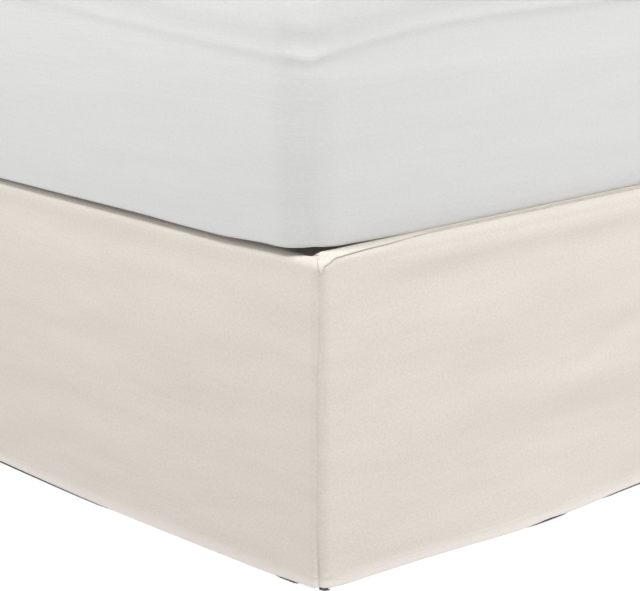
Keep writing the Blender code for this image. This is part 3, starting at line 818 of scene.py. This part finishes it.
# Unevenness of the fitted sheet: soft dents, level wrinkles and fine ones.
SHEET_UNEVEN = table(
    "depth length height seed",
    (0.0011, 0.17, 0.075, 11), (0.00035, 0.06, 0.0075, 12), (0.00018, 0.03, 0.0038, 13),
)
SHEET_LEAN = 0.0030  # a side wall stands back by this above its middle
SHEET_LEAN_RUN = 0.034
SHEET_LEAN_HEIGHT = (0.566, 0.05)  # where that starts, and how much lower it starts far along
SHEET_LEAN_ALONG = (0.20, 0.9)
SHEET_SIDE = (0.80, 0.25)  # the lean and the cord fade out here
SHEET_CORD = 0.0012  # the side walls' piping stands out by this
SHEET_VALLEY = 0.0009  # depth of the upright hollow on the foot side of a corner
SHEET_CREST = 0.0014  # and height of the edge on its other side


def sheet_relief(away, height, travel, sag):
    """Soft dents and fine level wrinkles of the fitted sheet on the mattress's walls."""
    wall = comes_up(height, 0.40, 0.02) * fades(height, 0.69, 0.03)
    uneven = sum(u.depth * soft_noise(travel, height, u.length, u.height, u.seed) for u in SHEET_UNEVEN)
    side = smooth(away / 0.05) * fades(away, *SHEET_SIDE)
    lean_start = SHEET_LEAN_HEIGHT[0] - SHEET_LEAN_HEIGHT[1] * comes_up(away, *SHEET_LEAN_ALONG)
    lean = -SHEET_LEAN * comes_up(height, lean_start, SHEET_LEAN_RUN) * side
    cord = SHEET_CORD * bell((height - RIDGE_HEIGHT + sag - 0.003) / 0.006) * side
    valley = -SHEET_VALLEY * bell((away + 0.004) / 0.014)
    crest = SHEET_CREST * np.exp(-np.abs(away - 0.012) / 0.011) * fades(height, 0.60, 0.03)
    return wall * (uneven + lean + cord + valley + crest)


def mattress_piece():
    half = (BED_WIDTH / 2, BED_LENGTH / 2)
    stations = rounded_outline(half, MATTRESS_CORNER, OUTLINE_STEPS, OUTLINE_PITCH)
    x, y, out_x, out_y, away = stations.T
    travel = travelled(stations[:, :2])
    rings = finer_rows(mattress_profile(), RING_PITCH)
    rise = table_value(RIM_RISE, away)
    pinch = CORNER_PINCH * bell(away / PINCH_REACH)
    sag = table_value(RIDGE_SAG, away)
    loops = []
    for inset, height, dip, lift, share in rings:
        z = height - dip * sag + lift * rise
        inside = np.minimum(inset + share * pinch, CROWN_START) - sheet_relief(away, z, travel, sag)
        shrink = 1 - max(inset - CROWN_START, 0.0) / half[0]
        px = (x - out_x * inside) * shrink + MATTRESS_SHIFT[0]
        py = (y - out_y * inside) * shrink + MATTRESS_SHIFT[1]
        loops.append(np.column_stack([px, py, z]))
    centre = np.array([*MATTRESS_SHIFT, 0.0])
    from_centre = loops[-1] - centre
    loops += [centre + from_centre * (shrink, shrink, 1.0) for shrink in CROWN_SHARES]
    return loft("mattress_in_sheet", loops, travel, slice(len(rings) - CROWN_ROWS, None))


# ---- box spring

SPRING_CORNER = 0.030
SPRING_STEPS = 8
SPRING_PITCH = 0.03
SPRING_CROWN = 0.028
SPRING_SAG = 0.0006
SPRING_PROFILE = mm_table(
    "inset rise",
    (300, 0), (30, 0), (10, 0.5), (6, 3), (1.4, 5.5), (0.4, 9.5), (1.4, 13.5), (5.2, 15.5), (3, 24),
    (1.2, 60), (0.8, 102), (1.2, 144), (3, 177), (5.2, 184.5), (1.4, 186.5), (0.4, 190.5), (1.4, 194.5),
    (6, 196.5), (14, 198.5), (24, 201), (40, 202.5), (60, 203), (90, 203), (300, 203),
)


def spring_piece():
    """The covered base: soft edges, taped along the top and the bottom."""
    low, high = (Vector(corner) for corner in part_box("box_spring"))
    half = ((high.x - low.x) / 2, (high.y - low.y) / 2)
    outline = rounded_outline(half, SPRING_CORNER, SPRING_STEPS, SPRING_PITCH)
    x, y, out_x, out_y, _ = outline.T
    travel = travelled(outline[:, :2])
    loops = []
    for inset, rise in SPRING_PROFILE:
        sag = SPRING_SAG * soft_noise(travel, np.full_like(travel, rise), 0.14, 0.08, 21)
        sag = sag * float(comes_up(rise, 0.016, 0.03) * fades(rise, 0.187, 0.03))
        inside = min(inset, SPRING_CROWN) - sag
        shrink = 1 - max(inset - SPRING_CROWN, 0.0) / half[0]
        px, py = (x - out_x * inside) * shrink, (y - out_y * inside) * shrink
        z = np.full_like(px, low.z + rise)
        worn = np.maximum(edge_sink(px, py, DECK_TOP) - (high.z - z), 0.0)
        worn = worn * float(comes_up(rise, 0.19, 0.01))
        loops.append(np.column_stack([px, py, z - worn]))
    return loft("spring_base", loops, travel, [0, 1, -1, -2])


# ---- materials

# The hem's paler tone, partly painted light
HEM_TONE_BLUR = 0.003
HEM_TONE_DARK = 0.955
THREAD_WAVES = 0.314  # scale at which a wave texture repeats once in each unit

# Sizes of the cloth's textures, along and up
YARN_ALONG = (0.0060, 0.0011)
YARN_UP = (0.0011, 0.0050)
CLOUD_SIZE = (0.16, 0.030)
WRINKLE_SIZE = (0.085, 0.0065)


class Nodes:
    """The node tree of a material or a world, with short calls for its nodes."""

    def __init__(self, owner, shader="Principled BSDF"):
        owner.use_nodes = True
        self.owner = owner
        self.tree = owner.node_tree
        self.shader = self.tree.nodes[shader]

    def feed(self, inputs, node=None):
        """Gives inputs, by name or number, their values or links. They are the shader's by default."""
        for key, value in inputs.items():
            socket = (node or self.shader).inputs[key]
            if isinstance(value, bpy.types.NodeSocket):
                self.tree.links.new(value, socket)
            else:
                socket.default_value = value

    def add(self, kind, inputs, **settings):
        node = self.tree.nodes.new(kind)
        for key, value in settings.items():
            setattr(node, key, value)
        self.feed(inputs, node)
        return node

    def scaled(self, place, sizes):
        inputs = {0: place, 1: [1 / size for size in sizes]}
        return self.add("ShaderNodeVectorMath", inputs, operation="MULTIPLY").outputs["Vector"]

    def cloth_place(self, size_u, size_v):
        """Cloth coordinates in repeats of a size, from the piece's own cloth map."""
        spot = self.add("ShaderNodeUVMap", {}, uv_map="cloth")
        return self.scaled(spot.outputs["UV"], (size_u, size_v, 1.0))

    def space_place(self, size):
        return self.scaled(self.add("ShaderNodeTexCoord", {}).outputs["Object"], (size,) * 3)

    def coordinate(self, kind, axis):
        """One coordinate: of kind Object in the piece, of kind Generated in the sight line."""
        spot = self.add("ShaderNodeTexCoord", {}).outputs[kind]
        return self.add("ShaderNodeSeparateXYZ", {"Vector": spot}).outputs[axis]

    def noise(self, place, detail, roughness):
        inputs = {"Vector": place, "Scale": 1.0, "Detail": detail, "Roughness": roughness}
        return self.add("ShaderNodeTexNoise", inputs).outputs["Fac"]

    def wave(self, place, direction):
        """Threads that run across one direction, one to each repeat."""
        inputs = {"Vector": place, "Scale": THREAD_WAVES, "Distortion": 0.0}
        settings = {"wave_type": "BANDS", "bands_direction": direction}
        return self.add("ShaderNodeTexWave", inputs, **settings).outputs["Fac"]

    def ramp(self, value, *ends, **settings):
        """A value brought from one range, the first two ends, to another one or to 0 to 1."""
        inputs = dict(enumerate((value, *ends)))
        return self.add("ShaderNodeMapRange", inputs, **settings).outputs["Result"]

    def math(self, operation, first, second):
        inputs = {0: first, 1: second}
        return self.add("ShaderNodeMath", inputs, operation=operation).outputs["Value"]

    def scale(self, value, factor, start):
        return self.math("ADD", self.math("MULTIPLY", value, factor), start)

    def blend(self, first, second, share):
        """The second takes up a share and the first the rest."""
        rest = self.math("MULTIPLY", first, 1 - share)
        return self.math("ADD", rest, self.math("MULTIPLY", second, share))

    def mix(self, factor, first, second):
        first, second = ((*c, 1.0) if isinstance(c, tuple) else c for c in (first, second))
        inputs = {"Factor": factor, 6: first, 7: second}
        return self.add("ShaderNodeMix", inputs, data_type="RGBA").outputs[2]

    def pale_hem_and_painted_light(self, colour, grain, pale):
        """The turned-up hem is three layers thick, so less of the dark behind it shows through, and it
        is also made paler as painted light against the shade near the floor.
        """
        height = self.coordinate("Object", "Z")
        share = self.ramp(height, HEM_DEPTH - HEM_TONE_BLUR, HEM_DEPTH + HEM_TONE_BLUR, 1.0, 0.0)
        tone = self.mix(grain, tuple(HEM_TONE_DARK * value for value in pale), pale)
        return self.mix(share, colour, tone)

    def bump(self, height, distance, strength, before=None):
        inputs = {"Strength": strength, "Distance": distance, "Height": height}
        if before is not None:
            inputs["Normal"] = before
        return self.add("ShaderNodeBump", inputs).outputs["Normal"]


def cloth_material(name, light, dark, *, thread, grain_size, streak, sheen, hem=None, wrinkle=0.0):
    """Plain woven cloth: threads, uneven yarn both ways, soft streaks of tone and fine wrinkles."""
    nodes = Nodes(bpy.data.materials.new(name))
    place = nodes.cloth_place(thread, thread)
    weave = nodes.math("MULTIPLY", nodes.wave(place, "X"), nodes.wave(place, "Y"))
    along = nodes.noise(nodes.cloth_place(*YARN_ALONG), 2.0, 0.6)
    across = nodes.noise(nodes.cloth_place(*YARN_UP), 2.0, 0.6)
    speck = nodes.noise(nodes.cloth_place(*grain_size), 1.0, 0.5)
    grain = nodes.blend(nodes.blend(along, across, 0.45), speck, 0.55)
    cloud = nodes.noise(nodes.cloth_place(*CLOUD_SIZE), 3.0, 0.55)
    share = nodes.ramp(nodes.blend(grain, cloud, streak), 0.34, 0.66)
    colour = nodes.mix(share, dark, light)
    # The paler hem is partly painted light, against the shade near the floor
    if hem:
        colour = nodes.pale_hem_and_painted_light(colour, share, hem)
    normal = nodes.bump(weave, 0.00008, 0.5)
    normal = nodes.bump(grain, 0.00022, 0.7, normal)
    if wrinkle:
        lines = nodes.noise(nodes.cloth_place(*WRINKLE_SIZE), 3.0, 0.6)
        normal = nodes.bump(lines, wrinkle, 0.8, normal)
    nodes.feed({
        "Base Color": colour,
        "Roughness": nodes.scale(grain, 0.10, 0.84),
        "Normal": normal,
        "Sheen Weight": sheen,
        "Sheen Roughness": 0.45,
        "Specular IOR Level": 0.25,
    })
    return nodes.owner


def metal_material():
    """Satin powder coat with a fine orange-peel skin and slightly worn tone."""
    nodes = Nodes(bpy.data.materials.new("frame_powder_coat"))
    peel = nodes.noise(nodes.space_place(0.0016), 2.0, 0.5)
    cloud = nodes.noise(nodes.space_place(0.09), 4.0, 0.6)
    nodes.feed({
        "Base Color": nodes.mix(cloud, (0.035, 0.036, 0.040), (0.060, 0.060, 0.064)),
        "Roughness": nodes.scale(cloud, 0.20, 0.34),
        "Normal": nodes.bump(peel, 0.00015, 0.4),
        "Metallic": 0.35,
    })
    return nodes.owner


def thread_material():
    """Twisted sewing thread in the skirt's own colour."""
    nodes = Nodes(bpy.data.materials.new("sewing_thread"))
    twist = nodes.noise(nodes.space_place(0.0007), 1.0, 0.5)
    nodes.feed({
        "Base Color": nodes.mix(twist, (0.66, 0.61, 0.54), (0.78, 0.73, 0.66)),
        "Roughness": nodes.scale(twist, 0.15, 0.60),
        "Normal": nodes.bump(twist, 0.0001, 0.6),
    })
    return nodes.owner


def floor_material(name, tone, glow_start=None):
    """Matt white that glows, so that it stays pale next to the bed, or only from glow_start on. Left
    without glow it is a painted shade, and the glow's rise towards the head end is painted light.
    """
    nodes = Nodes(bpy.data.materials.new(name))
    cloud = nodes.noise(nodes.space_place(0.8), 2.0, 0.5)
    glow = FLOOR_GLOW
    # Painted shade under the bed, brightening to painted light towards the open head end
    if glow_start is not None:
        ends = (glow_start, HEAD_END, 0.0, FLOOR_GLOW)
        glow = nodes.ramp(nodes.coordinate("Object", "Y"), *ends, interpolation_type="SMOOTHSTEP")
    nodes.feed({
        "Base Color": nodes.mix(cloud, (tone * 0.95,) * 3, (tone * 1.05,) * 3),
        "Roughness": nodes.scale(cloud, 0.05, 0.85),
        "Specular IOR Level": 0.1,
        "Emission Color": (1.0, 1.0, 1.0, 1.0),
        "Emission Strength": glow,
    })
    return nodes.owner


# ---- scene

def dress(piece, material, slot_name, *nodes):
    """Puts a finished piece on the bed: its material, body and the solids it stands for. Its slot_name
    is not used.
    """
    piece.data.materials.clear()
    piece.data.materials.append(material)
    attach(piece, "root")
    if nodes:
        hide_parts(*nodes)
    return piece


def aimed(name, data, place, aim):
    """A lamp or a camera that looks along a direction."""
    device = bpy.data.objects.new(name, data)
    device.location = place
    device.rotation_euler = aim.to_track_quat("-Z", "Y").to_euler()
    bpy.context.scene.collection.objects.link(device)
    return device


def add_light(light):
    data = bpy.data.lights.new(light.name, "AREA")
    data.shape = "RECTANGLE"
    data.size, data.size_y = light.size
    data.energy = light.power
    lamp = aimed(light.name, data, light.place, Vector(light.target) - Vector(light.place))
    lamp.visible_camera = False


def add_world():
    """A backdrop that is pale near the floor and dim overhead, where the lamps are."""
    world = bpy.data.worlds.new("studio")
    bpy.context.scene.world = world
    nodes = Nodes(world, "Background")
    ends = (*WORLD_BAND, WORLD_LOW, WORLD_HIGH)
    strength = nodes.ramp(nodes.coordinate("Generated", "Z"), *ends, interpolation_type="SMOOTHSTEP")
    nodes.feed({"Color": (1.0, 1.0, 1.0, 1.0), "Strength": strength})


def add_floor(foot, right, left):
    """The pale floor, and a painted shade on it: a patch without the floor's glow, inside the line of
    the hems.
    """
    corners = [(x * FLOOR_HALF, y * FLOOR_HALF, 0) for x, y in ((-1, -1), (1, -1), (1, 1), (-1, 1))]
    floor = smooth_object("floor", corners, [(0, 1, 2, 3)])
    floor.data.materials.append(floor_material("pale_floor", FLOOR_TONE))
    left_line = left.shade_line(SIDE_SHADE)[::-1] * (-1, 1, 1)
    outline = np.concatenate([foot.shade_line(FOOT_SHADE), right.shade_line(SIDE_SHADE), left_line])
    outline[:, 2] = SHADE_LIFT
    # Painted shade: this patch lacks the floor's glow under the bed and round the lifted hems
    shade = smooth_object("painted_shade_floor", outline, [tuple(range(len(outline)))])
    shade.data.materials.append(floor_material("painted_shade_floor_material", SHADE_TONE, SHADE_FADE))


def add_camera():
    heading, pitch = math.radians(CAMERA_HEADING), math.radians(CAMERA_PITCH)
    level = math.cos(pitch)
    view = Vector((math.cos(heading) * level, math.sin(heading) * level, math.sin(pitch)))
    data = bpy.data.cameras.new("camera")
    data.lens = CAMERA_LENS
    bpy.context.scene.camera = aimed("camera", data, CAMERA_PLACE, view)


def add_skirt(cloth, thread):
    """The skirt's pieces. Its drops are returned as foot, right and left."""
    drops = (
        Drop(foot_columns(), FOOT_WAVES, FOOT_CLEARANCE, 2 * HALF_WIDTH, False, 1),
        Drop(side_columns(), RIGHT_WAVES, SIDE_CLEARANCE, OPEN_END, True, 2),
        Drop(side_columns(), LEFT_WAVES, SIDE_CLEARANCE, OPEN_END, False, 4),
    )
    for side, width, drop in zip(("foot", "right", "left"), DROP_WIDTHS, drops):
        sheet = drop_sheet(f"skirt_drop_{side}", drop)
        sewing = hem_stitches(f"hem_stitches_{side}", drop)
        if side == "left":
            mirror(sheet)
            mirror(sewing)
        dress(sheet, cloth, "skirt_cloth", f"drop_{side}")
        dress(sewing, thread, "skirt_cloth")
    deck = dress(deck_sheet(), cloth, "skirt_cloth", "deck")
    return drops


FRAME_NODES = (
    "rail_left", "rail_right", "cross_rail_foot", "cross_rail_middle", "cross_rail_head", "leg_centre",
    *(f"leg_{side}_{place}" for side in ("left", "right") for place in ("foot", "middle", "head")),
)


def main():
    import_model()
    # Its hem colour is paler, partly as painted light
    skirt_cloth = cloth_material(
        "ivory_cloth", (0.733, 0.687, 0.623), (0.624, 0.578, 0.522),
        thread=0.00055, grain_size=(0.0032, 0.0027), streak=0.25, sheen=0.08, hem=(0.796, 0.739, 0.694),
    )
    sheet_cloth = cloth_material(
        "white_percale", (0.645, 0.643, 0.634), (0.596, 0.596, 0.592),
        thread=0.0005, grain_size=(0.0050, 0.0026), streak=0.25, sheen=0.05, wrinkle=0.0005,
    )
    base_cloth = cloth_material(
        "base_ticking", (0.66, 0.65, 0.62), (0.56, 0.55, 0.52),
        thread=0.0009, grain_size=(0.0030, 0.0030), streak=0.4, sheen=0.05,
    )
    drops = add_skirt(skirt_cloth, thread_material())
    dress(mattress_piece(), sheet_cloth, "white_sheet", "mattress")
    dress(spring_piece(), base_cloth, "spring_cover", "box_spring")
    metal = metal_material()
    for node in FRAME_NODES:
        bpy.data.objects[node].material_slots[0].material = metal
    add_floor(*drops)
    add_world()
    for light in LIGHTS:
        add_light(light)
    add_camera()
    # Plain colours, so that white cloth and a white floor stay white
    bpy.context.scene.view_settings.view_transform = "Standard"


main()
